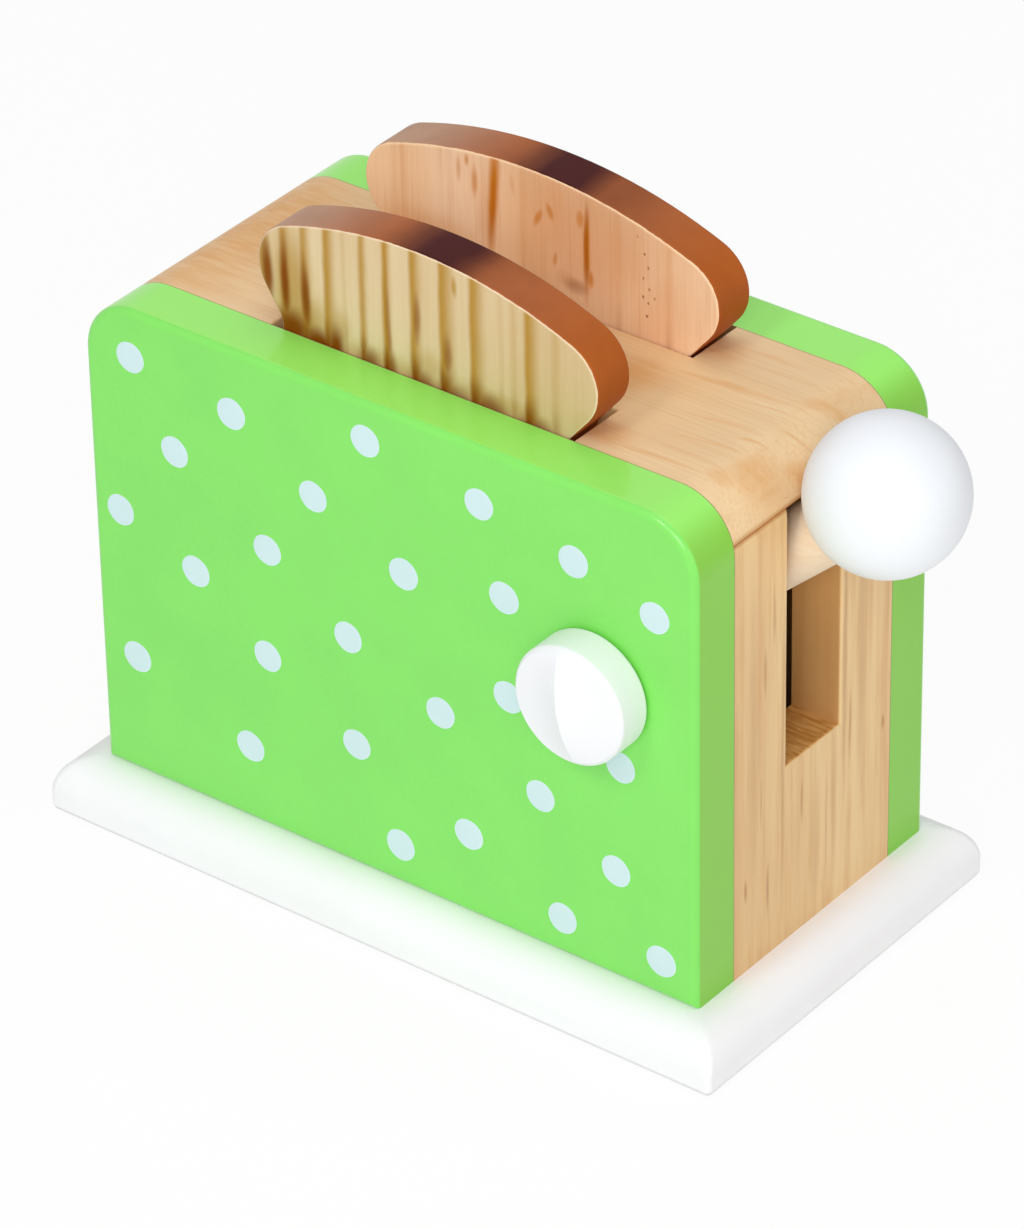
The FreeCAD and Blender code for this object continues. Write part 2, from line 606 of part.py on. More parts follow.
nodes = {
    "base_board": base_board(),
    "front_panel": panel(-1),
    "back_panel": panel(1),
    "top_block": top_block(),
    "lever_end_board": end_board(1),
    "plain_end_board": end_board(-1),
    "lever_arm": lever_arm(),
    "lever_ball": lever_ball(),
    "lift_bar": lift_bar(),
    "pivot_pin": pivot_pin(),
    "pivot_spacer_front": pivot_spacer(-1),
    "pivot_spacer_back": pivot_spacer(1),
    "lift_board": lift_board(),
    "guide_post_inner": guide_post(GUIDE_POST_XS[0]),
    "guide_post_outer": guide_post(GUIDE_POST_XS[1]),
    "front_toast": front_toast(),
    "back_toast": back_toast(),
    "knob": knob(),
    "knob_axle": knob_axle(),
    "knob_washer": knob_washer(),
    "knob_retainer": knob_retainer(),
    "base_screws": base_screws(),
    "front_panel_dowels": panel_dowels(-1),
    "back_panel_dowels": panel_dowels(1),
    "top_block_dowels": top_dowels(),
}

os.makedirs("parts", exist_ok=True)
for name, shape in nodes.items():
    shape.exportStep("parts/" + name + ".step")
    print(name, len(shape.Solids), round(shape.Volume, 1), shape.isValid())
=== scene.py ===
"""Visual model of the wooden toy toaster: materials, painted dots, floor, light and camera."""
import math
import random

import bmesh
import bpy
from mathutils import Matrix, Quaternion, Vector


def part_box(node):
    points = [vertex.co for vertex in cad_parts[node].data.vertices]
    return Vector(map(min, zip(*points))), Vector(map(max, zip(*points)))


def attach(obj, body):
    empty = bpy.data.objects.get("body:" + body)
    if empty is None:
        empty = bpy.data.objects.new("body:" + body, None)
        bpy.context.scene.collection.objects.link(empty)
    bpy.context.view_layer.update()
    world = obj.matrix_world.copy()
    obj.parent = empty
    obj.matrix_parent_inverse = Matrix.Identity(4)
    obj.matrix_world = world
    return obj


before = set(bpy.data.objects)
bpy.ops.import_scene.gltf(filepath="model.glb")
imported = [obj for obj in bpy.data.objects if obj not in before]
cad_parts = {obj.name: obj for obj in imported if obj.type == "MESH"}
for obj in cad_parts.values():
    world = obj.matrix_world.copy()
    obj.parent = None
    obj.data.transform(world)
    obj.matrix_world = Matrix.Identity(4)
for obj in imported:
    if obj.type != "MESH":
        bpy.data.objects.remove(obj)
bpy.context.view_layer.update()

MM = 0.001
LOW, HIGH = 0, 1
X, Y, Z = 0, 1, 2


# --- The part's sizes, in millimetres -----------------------------------------------------------

def side(node, end, axis):
    """Where a node ends, LOW or HIGH along an axis, to a hundredth of a millimetre."""
    return round(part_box(node)[end][axis] / MM, 2)


TOP_Z = side("top_block", HIGH, Z)
SEAM_Z = side("lever_end_board", HIGH, Z)
HALF_LENGTH = side("lever_end_board", HIGH, X)
HALF_DEPTH = side("back_panel", HIGH, Y)
PANEL_INNER_Y = side("back_panel", LOW, Y)
BASE_TOP = side("base_board", HIGH, Z)
LIFT_BOARD_Z = side("lift_board", LOW, Z)
FRONT_SLICE_FACE_Y = side("front_toast", LOW, Y)
BACK_SLICE_FACE_Y = side("back_toast", LOW, Y)

# The lever's slot shows in no node's box, so these two repeat the part's source.
LEVER_SLOT_REACH = 11.0
LEVER_SLOT_FLOOR = 64.8


# --- Node building ------------------------------------------------------------------------------

MARK_CORE = 0.15    # the share of an oval mark's reach that keeps its full strength
RING_EDGE = 0.8     # half the width over which a ring's left edge rises, in millimetres


def srgb(red, green, blue):
    """A colour given as it looks on a screen, 0 to 255, as linear values."""
    def linear(value):
        value = value / 255
        return value / 12.92 if value <= 0.04045 else ((value + 0.055) / 1.055) ** 2.4
    return (linear(red), linear(green), linear(blue))


def empty_tree(owner):
    """The node tree of a material or world, with its starting nodes taken out."""
    owner.use_nodes = True
    owner.node_tree.nodes.clear()
    return owner.node_tree


class Graph:
    """A material's node tree, with short calls for the nodes that the materials below share.

    x, y and z are the place on the part in millimetres, and the normals are the face's direction.
    """

    def __init__(self, name):
        self.material = bpy.data.materials.new(name)
        self.tree = empty_tree(self.material)
        self.shader = self.node("BsdfPrincipled")
        self.put(self.node("OutputMaterial").inputs["Surface"], self.shader.outputs["BSDF"])
        coords = self.node("TexCoord")
        self.mm = self.scaled(coords.outputs["Object"], (1 / MM,) * 3)
        self.x, self.y, self.z = self.axes(self.mm)
        self.normal_x, self.normal_y, self.normal_z = self.axes(coords.outputs["Normal"])

    def node(self, kind):
        return self.tree.nodes.new("ShaderNode" + kind)

    def put(self, socket, value):
        """Links another node's output to an input, or sets the input's own value."""
        if isinstance(value, bpy.types.NodeSocket):
            self.tree.links.new(value, socket)
        elif value is not None:
            socket.default_value = value

    def scaled(self, vector, scale, shift=(0, 0, 0), turn=(0, 0, 0)):
        """Coordinates stretched, then turned by degrees, then shifted."""
        node = self.node("Mapping")
        self.put(node.inputs["Vector"], vector)
        node.inputs["Location"].default_value = shift
        node.inputs["Rotation"].default_value = [math.radians(angle) for angle in turn]
        node.inputs["Scale"].default_value = scale
        return node.outputs["Vector"]

    def math(self, operation, first, second=None, third=None, clamp=False):
        node = self.node("Math")
        node.operation = operation
        node.use_clamp = clamp
        for socket, value in zip(node.inputs, (first, second, third)):
            self.put(socket, value)
        return node.outputs[0]

    def times(self, first, second):
        return self.math("MULTIPLY", first, second)

    def size(self, value):
        return self.math("ABSOLUTE", value)

    def axes(self, vector):
        node = self.node("SeparateXYZ")
        self.put(node.inputs[0], vector)
        return node.outputs[0], node.outputs[1], node.outputs[2]

    def vector(self, x, y, z):
        node = self.node("CombineXYZ")
        for socket, value in zip(node.inputs, (x, y, z)):
            self.put(socket, value)
        return node.outputs[0]

    def noise(self, vector, scale=1.0, detail=2.0, roughness=0.5, colour=False):
        node = self.node("TexNoise")
        self.put(node.inputs["Vector"], vector)
        node.inputs["Scale"].default_value = scale
        node.inputs["Detail"].default_value = detail
        node.inputs["Roughness"].default_value = roughness
        return node.outputs["Color" if colour else "Fac"]

    def span(self, value, low, high, to_low, to_high):
        """A smooth step from to_low at low to to_high at high."""
        node = self.node("MapRange")
        node.interpolation_type = "SMOOTHSTEP"
        for socket, number in zip(node.inputs, (value, low, high, to_low, to_high)):
            self.put(socket, number)
        return node.outputs[0]

    def rise(self, value, low, high, top=1.0):
        """A smooth step from 0 at low up to top at high."""
        return self.span(value, low, high, 0.0, top)

    def fall(self, value, low, high, top=1.0):
        """A smooth step from top at low down to 0 at high."""
        return self.span(value, low, high, top, 0.0)

    def spread(self, noise, reach, to_low=0.0, to_high=1.0):
        """A smooth step across the middle of a noise, reach to each side of one half."""
        return self.span(noise, 0.5 - reach, 0.5 + reach, to_low, to_high)

    def grey_ramp(self, value, stops):
        """Straight runs between the given levels."""
        node = self.node("ValToRGB")
        elements = node.color_ramp.elements
        while len(elements) < len(stops):
            elements.new(0.5)
        for element, (place, level) in zip(elements, stops):
            element.position = place
            element.color = (level, level, level, 1.0)
        self.put(node.inputs[0], value)
        return node.outputs["Color"]

    def mix(self, factor, first, second):
        """Two colours mixed, each another node's output or three numbers."""
        node = self.node("Mix")
        node.data_type = "RGBA"
        sockets = {socket.identifier: socket for socket in node.inputs}
        self.put(sockets["Factor_Float"], factor)
        for name, value in (("A_Color", first), ("B_Color", second)):
            self.put(sockets[name], value + (1.0,) if isinstance(value, tuple) else value)
        return next(socket for socket in node.outputs if socket.identifier == "Result_Color")

    def highest(self, values):
        total = values[0]
        for value in values[1:]:
            total = self.math("MAXIMUM", total, value)
        return total

    def marks(self, plane, rows):
        """Soft oval marks in a plane: centre, half sizes, tilt in degrees and strength."""
        marks = []
        for across, up, half_across, half_up, tilt, strength in rows:
            node = self.node("Mapping")
            node.vector_type = "TEXTURE"
            self.put(node.inputs["Vector"], plane)
            node.inputs["Location"].default_value = (across, up, 0)
            node.inputs["Rotation"].default_value = (0, 0, math.radians(tilt))
            node.inputs["Scale"].default_value = (half_across, half_up, 1)
            length = self.node("VectorMath")
            length.operation = "LENGTH"
            self.put(length.inputs[0], node.outputs["Vector"])
            marks.append(self.fall(length.outputs["Value"], MARK_CORE, 1.0, strength))
        return self.highest(marks)

    def bands(self, across, rows):
        """Growth-ring bands, fading to the right from a firm edge: edge, width and strength."""
        bands = []
        for left, width, strength in rows:
            firm_edge = self.rise(across, left - RING_EDGE, left + RING_EDGE)
            soft_edge = self.fall(across, left + RING_EDGE, left + width, strength)
            bands.append(self.times(firm_edge, soft_edge))
        return self.highest(bands)

    def wobble(self, vector, fineness, amount):
        """The same coordinates, shifted to and fro by noise of a fineness across and up."""
        noise = self.noise(self.scaled(vector, fineness + (1,)), colour=True)
        shift = self.node("VectorMath")
        shift.operation = "MULTIPLY_ADD"
        self.put(shift.inputs[0], noise)
        shift.inputs[1].default_value = (amount, amount, 0)
        self.put(shift.inputs[2], vector)
        centred = self.node("VectorMath")
        centred.operation = "SUBTRACT"
        self.put(centred.inputs[0], shift.outputs[0])
        centred.inputs[1].default_value = (amount / 2, amount / 2, 0)
        return centred.outputs[0]

    def bump(self, height, strength, distance_mm):
        node = self.node("Bump")
        node.inputs["Strength"].default_value = strength
        node.inputs["Distance"].default_value = distance_mm * MM
        self.put(node.inputs["Height"], height)
        return node.outputs[0]

    def finish(self, colour, roughness, normal, coat=0.0, coat_roughness=0.2, specular=0.5):
        self.put(self.shader.inputs["Base Color"], colour)
        self.put(self.shader.inputs["Roughness"], roughness)
        self.put(self.shader.inputs["Normal"], normal)
        self.shader.inputs["Coat Weight"].default_value = coat
        self.shader.inputs["Coat Roughness"].default_value = coat_roughness
        self.shader.inputs["Specular IOR Level"].default_value = specular
        return self.material


# --- Wood ---------------------------------------------------------------------------------------

# Noise scales across the grain twice and then along it, for each millimetre.
RING_BEND_SCALE = (0.024, 0.024, 0.005)
DRIFT_SCALE = (0.05, 0.05, 0.012)
UNEVEN_SCALE = (0.12, 0.12, 0.02)
UNEVEN_SHIFT = (31, 7, 3)
FIBRE_ROUGHNESS = 0.6
FIBRE_LENGTH_SCALE = 0.02
FINE_FIBRE_STRENGTH = 0.12

# Shares of the wood's relief: the finest fibres stand up and the late wood lies lower.
FIBRE_RELIEF = 0.5
LATE_WOOD_RELIEF = -0.35

# A growth ring from its early wood to its late wood: place in the ring and darkness.
RING_PROFILE = [(0.0, 0.15), (0.12, 0.0), (0.55, 0.25), (0.86, 1.0), (0.93, 0.85), (1.0, 0.15)]


def grain_frame(graph, axis, shift):
    """Coordinates in which the grain runs along Z, with the growth rings round Z."""
    along = {
        "x": (graph.y, graph.z, graph.x),
        "y": (graph.x, graph.z, graph.y),
        "z": (graph.x, graph.y, graph.z),
    }[axis]
    return graph.scaled(graph.vector(*along), (1, 1, 1), shift)


def growth_rings(graph, frame_mm, spacing, warp):
    """0 in the early wood, rising to 1 in each ring's late wood, and dropping sharply after it."""
    x, y, _ = graph.axes(frame_mm)
    slow = graph.noise(graph.scaled(frame_mm, RING_BEND_SCALE))
    bend = graph.times(graph.math("SUBTRACT", slow, 0.5), warp)
    radius = graph.math("SQRT", graph.math("ADD", graph.times(x, x), graph.times(y, y)))
    turns = graph.math("DIVIDE", graph.math("ADD", radius, bend), spacing)
    return graph.grey_ramp(graph.math("FRACT", turns), RING_PROFILE)


def fibres(graph, frame_mm, across, along, detail):
    """Fine streaks along the grain."""
    stretched = graph.scaled(frame_mm, (across, across, along))
    return graph.noise(stretched, detail=detail, roughness=FIBRE_ROUGHNESS)


def wood(name, axis, shift, tones, spacing, warp, rings, streaks,
         streak_fineness=1.3, roughness=0.45, coat=0.1, specular=0.35, finish=None):
    """Lacquered softwood in pale, middle and dark tones, then the board's own marks.

    The grain runs along axis, and shift moves the board out from the heart of its tree. Rings lie
    spacing apart, out of round by warp, and rings and streaks are the strengths that they show in.
    """
    pale, middle, dark = tones
    graph = Graph(name)
    frame_mm = grain_frame(graph, axis, shift)
    streaky = fibres(graph, frame_mm, across=streak_fineness, along=FIBRE_LENGTH_SCALE, detail=4.0)
    fine = fibres(graph, frame_mm, across=7.0, along=0.1, detail=2.0)
    drift = graph.noise(graph.scaled(frame_mm, DRIFT_SCALE))
    uneven = graph.noise(graph.scaled(frame_mm, UNEVEN_SCALE, UNEVEN_SHIFT))
    showing = graph.span(uneven, 0.35, 0.7, to_low=0.1, to_high=1.0)
    late = graph.times(growth_rings(graph, frame_mm, spacing, warp), showing)
    colour = graph.mix(graph.spread(drift, 0.15), pale, middle)
    colour = graph.mix(graph.times(late, rings), colour, dark)
    colour = graph.mix(graph.rise(streaky, 0.45, 0.75, streaks), colour, dark)
    colour = graph.mix(graph.rise(fine, 0.4, 0.7, FINE_FIBRE_STRENGTH), colour, dark)
    gloss = graph.spread(streaky, 0.2, roughness - 0.06, roughness + 0.08)
    if finish is not None:
        colour, gloss = finish(graph, colour, gloss)
    relief = graph.math(
        "ADD", graph.times(fine, FIBRE_RELIEF), graph.times(late, LATE_WOOD_RELIEF))
    normal = graph.bump(relief, strength=0.15, distance_mm=0.12)
    return graph.finish(colour, gloss, normal, coat, coat_roughness=0.25, specular=specular)


# Oval marks are (across, up, half width, half height, tilt in degrees, strength), in millimetres.
# On the slices across is X and up is Z. On the top block they are X and Y, on an end board Y and Z.
# Rings are (left edge, width, strength).

FRONT_SLICE_RINGS = [
    (-48.0, 5.5, 0.6), (-41.1, 4.0, 0.8), (-34.8, 4.0, 0.85), (-28.2, 4.4, 0.95),
    (-22.6, 1.8, 0.2), (-17.5, 2.9, 0.85), (-10.6, 3.3, 1.0), (-2.6, 4.6, 0.95),
    (5.9, 6.0, 0.95), (14.8, 5.6, 0.95), (23.0, 2.2, 0.2), (26.6, 2.6, 0.25),
    (30.6, 5.2, 0.95), (38.4, 3.4, 0.3),
]
FRONT_SLICE_HONEY = [
    (38, 160, 28, 46, 0, 0.25), (-36, 152, 14, 12, 0, 0.75), (-10, 147, 44, 7, 0, 0.5),
    (10.4, 176, 1.2, 4.0, 3, 0.8), (25.0, 149, 26, 6, 0, 0.5), (47, 152, 8, 12, 0, 0.3),
    (-45.5, 164, 3.0, 16, 0, 0.7), (-24, 153, 5, 8, 0, 0.5), (3.0, 152, 5, 7, 0, 0.4),
    (-38, 160, 9.0, 24, 0, 0.75),
]
FRONT_SLICE_BROWN_AND_SHADE = [
    (-45.0, 161.5, 2.4, 13, 2, 0.95), (-39.7, 160.5, 2.2, 17, 2, 1.0),
    (-33.6, 158.5, 2.0, 15, 2, 0.95), (-0.6, 164, 1.7, 9.0, 0, 0.6),
    (8.2, 157.0, 2.0, 8.0, 0, 0.6), (-9.0, 156, 1.1, 24, 1, 0.45),
    # These rows along the top block's surface are partly burn marks and partly painted shade where
    # the slice enters its slot.
    (-38, 148.5, 9, 7.5, 0, 1.0), (-30, 147.5, 8, 5.5, 0, 1.0), (-25.0, 148.0, 3.6, 8, 0, 1.0),
    (-15.0, 147.0, 5, 6.0, 0, 0.8), (-8.8, 147.0, 3, 8.0, 0, 0.8), (0.5, 146.5, 6, 6.0, 0, 0.75),
    (10.0, 146.5, 9, 5.5, 0, 0.7), (20.0, 147.2, 8, 5.5, 0, 0.8), (33.5, 146.5, 8, 5.0, 0, 0.7),
]
FRONT_SLICE_SCORCHED = [(4.5, 0, 19, 1, 0, 1.0), (9.5, 0, 24, 1, 0, 0.2)]
BACK_SLICE_RINGS = [
    (-41.6, 3.2, 0.2), (-27.5, 2.4, 0.12), (-5.6, 2.0, 0.15), (22.0, 2.8, 0.15), (36.5, 3.0, 0.2),
]
BACK_SLICE_HONEY = [
    (-13.8, 171, 2.5, 26, -4, 1.0), (13.7, 166, 2.2, 22, -1, 1.0), (-15.2, 166, 5.0, 20, -4, 0.3),
    (-19.2, 173, 1.6, 6.0, 0, 0.6), (-0.5, 169.6, 1.8, 5.0, -25, 0.8),
    (3.0, 172, 1.8, 4.5, 20, 0.8), (-24.0, 175, 1.2, 5.0, 0, 0.45), (8.0, 156, 7.0, 5.0, 0, 0.45),
    (2, 162, 15, 13, 0, 0.2), (-32, 155, 22, 8, 0, 0.3), (-21.5, 178, 0.9, 2.4, 0, 0.6),
    (11.8, 173, 2.6, 5.5, 0, 0.8), (14.6, 158, 2.2, 5.0, 0, 0.85), (4.4, 160, 1.2, 4.0, -10, 0.7),
    (-8.0, 176, 1.2, 4.5, 8, 0.3), (34, 156, 16, 20, 0, 0.25), (15, 170, 30, 30, 0, 0.5),
]
BACK_SLICE_BROWN = [
    (-14.0, 167, 1.1, 15, -4, 0.25), (13.6, 166, 1.2, 17, -1, 0.45),
    (10.5, 154.6, 5.0, 3.0, 0, 0.45), (30.5, 170.0, 0.5, 0.6, 0, 0.8),
    (31.6, 166.5, 0.45, 0.7, 0, 0.7), (30.2, 163.5, 0.4, 0.6, 0, 0.8),
    (32.0, 161.0, 0.5, 0.6, 0, 0.7), (30.0, 158.5, 0.5, 0.7, 0, 0.8),
    (31.5, 157.2, 0.5, 0.6, 0, 0.8), (33.4, 159.0, 0.4, 0.6, 0, 0.7),
    (31.0, 153.5, 0.6, 0.6, 0, 0.9), (28.6, 174.0, 0.4, 0.6, 0, 0.5),
]
BACK_SLICE_SCORCHED = [(4.5, 0, 19, 1, 0, 1.0), (8.0, 0, 28, 1, 0, 0.45)]
TOP_BLOCK_ORANGE_AND_SHADE = [
    # Orange stain; the marks by the slot ends, at X 38 to 49, are partly painted shade.
    (-82, 0, 36, 60, 0, 0.85), (38, 0, 11, 14, 0, 0.6), (49, 22, 9, 8, 0, 0.45),
    (49, -24, 9, 7, 0, 0.6), (60, 9.0, 26, 2.0, 7, 0.55), (84, 17, 13, 2.6, 24, 0.5),
    (84, -16, 7, 10, 0, 0.55), (80, -23, 6, 4, 20, 0.5), (88, -3, 3.5, 8, -20, 0.55),
    (89, 18, 5, 12, 0, 0.35), (77, -8, 6, 1.0, 12, 0.5), (84, -20, 5, 1.2, 8, 0.6),
    (83, 2, 7, 0.8, 15, 0.5), (60, -26, 22, 1.4, 2, 0.45), (66, -5, 14, 0.9, 5, 0.4),
    (60, 25, 16, 1.4, 4, 0.35), (72, 6, 12, 0.8, 9, 0.4), (70, -14, 14, 0.8, 6, 0.35),
    (20, 3, 40, 2.6, 1, 0.4), (-20, -4, 30, 2.2, -2, 0.35), (-72, 6, 14, 3.4, 8, 0.75),
    (-70, -12, 20, 1.8, 3, 0.7), (-66, 18, 16, 2.4, -4, 0.7),
]
END_BOARD_BROWN = [
    (-19.5, 95, 0.8, 9, 0, 0.45), (-18.0, 34, 0.8, 10, 0, 0.55), (-27.0, 38, 0.9, 4.5, 0, 0.6),
    (-4.5, 52, 0.7, 9, 0, 0.5), (12.5, 88, 1.3, 60, 0, 0.4), (-12.4, 70, 1.0, 55, 0, 0.35),
    (-16.0, 110, 0.7, 12, 0, 0.4), (14.8, 62, 0.7, 14, 0, 0.45), (19.5, 84, 2.8, 60, 0, 0.3),
    (-21, 60, 0.6, 10, 0, 0.35), (5.5, 40, 0.8, 22, 0, 0.3), (28.6, 56, 0.9, 3.0, 0, 0.6),
    (-24, 80, 3.0, 60, 0, 0.2), (1.0, 38, 2.6, 30, 0, 0.2), (8.5, 46, 1.8, 40, 0, 0.25),
]

CRUST = srgb(177, 101, 57)
# Painted sheen: a pale pinkish colour that stands in for light reflected off the crust's left end.
CRUST_PAINTED_SHEEN = srgb(200, 163, 137)
CRUST_DEEP = srgb(181, 94, 34)
# Painted shade: a darker orange for the low part of the crust at its right end.
CRUST_FOOT_SHADE = srgb(152, 62, 4)
CRUST_DARK = srgb(68, 16, 15)
# Partly orange stain, partly painted shade beside the top block's slots.
ORANGE_STAIN_AND_SHADE = srgb(225, 165, 98)
RESIN = srgb(172, 106, 58)
GLUE = srgb(186, 118, 44)
# Painted shade on the walls of the lever's slot.
SLOT_WALL_SHADE = srgb(206, 150, 83)
SLOT_FLOOR_DARK = srgb(197, 134, 61)
SLOT_FLOOR_PALE = srgb(225, 174, 105)
CROSS_PLY = srgb(168, 118, 70)

MARK_LEAN = 0.35        # how far a slice's marks lean sideways with depth
RUN_OUT = 0.22          # how fast the marks still change below the top block's surface
# The brown just above the top block's surface is partly toasting and partly painted shade where the
# slices enter their slots.
TOAST_AND_SHADE_HEIGHT = 9.0    # how far above that surface the rings turn brown
CRUST_ROUGHNESS = 0.5
ORANGE_PATCH_SCALE = (0.12, 0.5, 0.5)
GLUE_RISE = 1.6         # how far the glue darkens the top block above the seam
SAW_MARK_SCALE = (0.15, 0.9, 0.5)
SAW_MARK_TURN = 20      # degrees
PLY_PAIR = 2.86         # thickness of two plies
PLY_STRIPES = [(0.0, 0.0), (0.46, 0.0), (0.5, 1.0), (0.96, 1.0), (1.0, 0.0)]

# Where the crust's tones set in, as ranges of X and Z.
PAINTED_SHEEN_CRUST_X = (-8.0, -44.0)
DEEP_CRUST_X = (24.0, 52.0)
CRUST_FOOT_SHADE_X = (42.0, 52.0)
CRUST_FOOT_SHADE_Z = (150.0, 168.0)

# How squarely a face looks along an axis, 1 straight and 0 sideways, from one look to the next.
SANDED_AND_HIGHLIGHT_FACING = (0.8, 0.98)
CRUST_FACING = (0.55, 0.7)
SLOT_WALL_FACING = (0.3, 0.8)
SLOT_FLOOR_FACING = (0.6, 0.9)
PLY_EDGE_FACING = (0.3, 0.6)


def crust_paint(graph, scorched):
    """Crust brown, with a painted sheen that pales it to the left, deeper to the right, painted
    shade at its foot on the right, and scorched places.
    """
    along = graph.wobble(graph.vector(graph.x, 0.0, 0.0), fineness=(0.1, 0.1), amount=1.5)
    dark = graph.marks(along, scorched)
    cloudy = graph.spread(graph.noise(graph.mm, scale=0.09, detail=3.0), 0.2, to_high=0.1)
    # Painted sheen: the crust pales towards its left end.
    crust = graph.mix(graph.rise(graph.x, *PAINTED_SHEEN_CRUST_X, top=0.85), CRUST, CRUST_PAINTED_SHEEN)
    crust = graph.mix(graph.rise(graph.x, *DEEP_CRUST_X), crust, CRUST_DEEP)
    # Painted shade low down at the crust's right end.
    low = graph.fall(graph.z, *CRUST_FOOT_SHADE_Z, top=0.6)
    foot = graph.times(graph.rise(graph.x, *CRUST_FOOT_SHADE_X), low)
    crust = graph.mix(foot, crust, CRUST_FOOT_SHADE)
    return graph.mix(graph.math("ADD", dark, cloudy, clamp=True), crust, CRUST_DARK)


def slice_finish(face_y, rings, honey, brown, scorched, honey_colour, brown_colour, sanded_edge_and_highlight_colour):
    """The slice's rings, streaks and knots, brown just above the top block that is partly toasting
    and partly painted shade, pale edges that are partly sanded wood and partly a painted highlight,
    and the crust paint on its rim.

    Below the top block's surface the marks run out in long streaks, so their height is drawn out.
    """
    def finish(graph, colour, gloss):
        depth = graph.math("SUBTRACT", graph.y, face_y)
        lean = graph.math("MULTIPLY_ADD", depth, MARK_LEAN, graph.x)
        drawn_out = graph.math("MULTIPLY_ADD", graph.z, RUN_OUT, (1 - RUN_OUT) * TOP_Z)
        height = graph.math("MAXIMUM", graph.z, drawn_out)
        plane = graph.vector(lean, height, 0.0)
        plane = graph.wobble(plane, fineness=(0.16, 0.06), amount=1.0)
        ringed = graph.bands(graph.axes(plane)[0], rings)
        colour = graph.mix(graph.marks(plane, honey), colour, honey_colour)
        colour = graph.mix(ringed, colour, honey_colour)
        # Partly toasting, partly painted shade: the rings turn brown just above the top block's
        # surface.
        toast_and_shade = graph.times(ringed, graph.fall(graph.z, TOP_Z, TOP_Z + TOAST_AND_SHADE_HEIGHT))
        darkest = graph.math("MAXIMUM", toast_and_shade, graph.marks(plane, brown))
        colour = graph.mix(darkest, colour, brown_colour)
        facing = graph.size(graph.normal_y)
        # Partly bare sanded wood, partly a painted highlight along the edge of the face.
        colour = graph.mix(graph.fall(facing, *SANDED_AND_HIGHLIGHT_FACING, top=0.7), colour, sanded_edge_and_highlight_colour)
        uneven = graph.spread(graph.noise(graph.mm, scale=0.5), 0.2, to_low=-0.05, to_high=0.05)
        painted = graph.fall(graph.math("ADD", facing, uneven), *CRUST_FACING)
        colour = graph.mix(painted, colour, crust_paint(graph, scorched))
        return colour, graph.mix(painted, gloss, (CRUST_ROUGHNESS,) * 3)
    return finish


def top_finish(graph, colour, gloss):
    """Orange streaks, partly painted shade beside the slot ends, and glue darkening at the seam
    with the end boards.
    """
    plane = graph.vector(graph.x, graph.y, 0.0)
    plane = graph.wobble(plane, fineness=(0.06, 0.16), amount=3.0)
    patchy = graph.noise(graph.scaled(graph.mm, ORANGE_PATCH_SCALE), detail=3.0)
    patches = graph.span(patchy, 0.3, 0.65, to_low=0.55, to_high=1.0)
    orange = graph.times(graph.marks(plane, TOP_BLOCK_ORANGE_AND_SHADE), patches)
    colour = graph.mix(orange, colour, ORANGE_STAIN_AND_SHADE)
    seam = graph.fall(graph.z, SEAM_Z, SEAM_Z + GLUE_RISE, top=0.85)
    at_ends = graph.rise(graph.size(graph.x), HALF_LENGTH - 2.0, HALF_LENGTH - 0.5)
    return graph.mix(graph.times(seam, at_ends), colour, GLUE), gloss


def end_finish(graph, colour, gloss):
    """Resin dashes, painted shade on the walls of the lever's slot, a sawn floor in it, and the
    glue line.
    """
    plane = graph.vector(graph.y, graph.z, 0.0)
    plane = graph.wobble(plane, fineness=(0.15, 0.05), amount=1.2)
    colour = graph.mix(graph.marks(plane, END_BOARD_BROWN), colour, RESIN)
    # Painted shade on the slot's side walls.
    sideways = graph.fall(graph.size(graph.normal_x), *SLOT_WALL_FACING, top=0.75)
    in_slot = graph.fall(graph.size(graph.y), LEVER_SLOT_REACH, LEVER_SLOT_REACH + 0.2)
    colour = graph.mix(graph.times(sideways, in_slot), colour, SLOT_WALL_SHADE)
    sawn = graph.scaled(graph.mm, SAW_MARK_SCALE, turn=(0, 0, SAW_MARK_TURN))
    saw_marks = graph.spread(graph.noise(sawn, detail=3.0), 0.15)
    floor = graph.mix(saw_marks, SLOT_FLOOR_DARK, SLOT_FLOOR_PALE)
    level = graph.rise(graph.normal_z, *SLOT_FLOOR_FACING)
    lowest = graph.fall(graph.z, LEVER_SLOT_FLOOR + 1.0, LEVER_SLOT_FLOOR + 1.5)
    colour = graph.mix(graph.times(graph.times(level, in_slot), lowest), colour, floor)
    seam = graph.rise(graph.z, SEAM_Z - 1.0, SEAM_Z, top=0.7)
    return graph.mix(seam, colour, GLUE), gloss


def plywood_finish(graph, colour, gloss):
    """Thin plies, darker every second one, on the board's cut edges."""
    turns = graph.times(graph.math("SUBTRACT", graph.z, LIFT_BOARD_Z), 1 / PLY_PAIR)
    stripes = graph.grey_ramp(graph.math("FRACT", turns), PLY_STRIPES)
    on_edge = graph.fall(graph.size(graph.normal_z), *PLY_EDGE_FACING, top=0.55)
    return graph.mix(graph.times(stripes, on_edge), colour, CROSS_PLY), gloss


# --- Paint --------------------------------------------------------------------------------------

GREEN = srgb(133, 230, 98)
GREEN_TOP = srgb(155, 242, 104)
# Painted shade: a darker green for the panel's upright end edges.
GREEN_SIDE_SHADED = srgb(134, 207, 59)
# Bare wood on the panel's inner face, darkened by painted shade.
BARE_PANEL_SHADED = srgb(150, 116, 78)
# Painted shade for the base's rounded lower edge.
SHADED_EDGE_WHITE = srgb(222, 222, 219)

PANEL_SIDE_FACING = (0.45, 0.97)
PANEL_FACE_FACING = (0.08, 0.35)
BASE_EDGE_FACING = (0.85, 0.97)
SHADED_EDGE_Z = (0.8, 2.1)


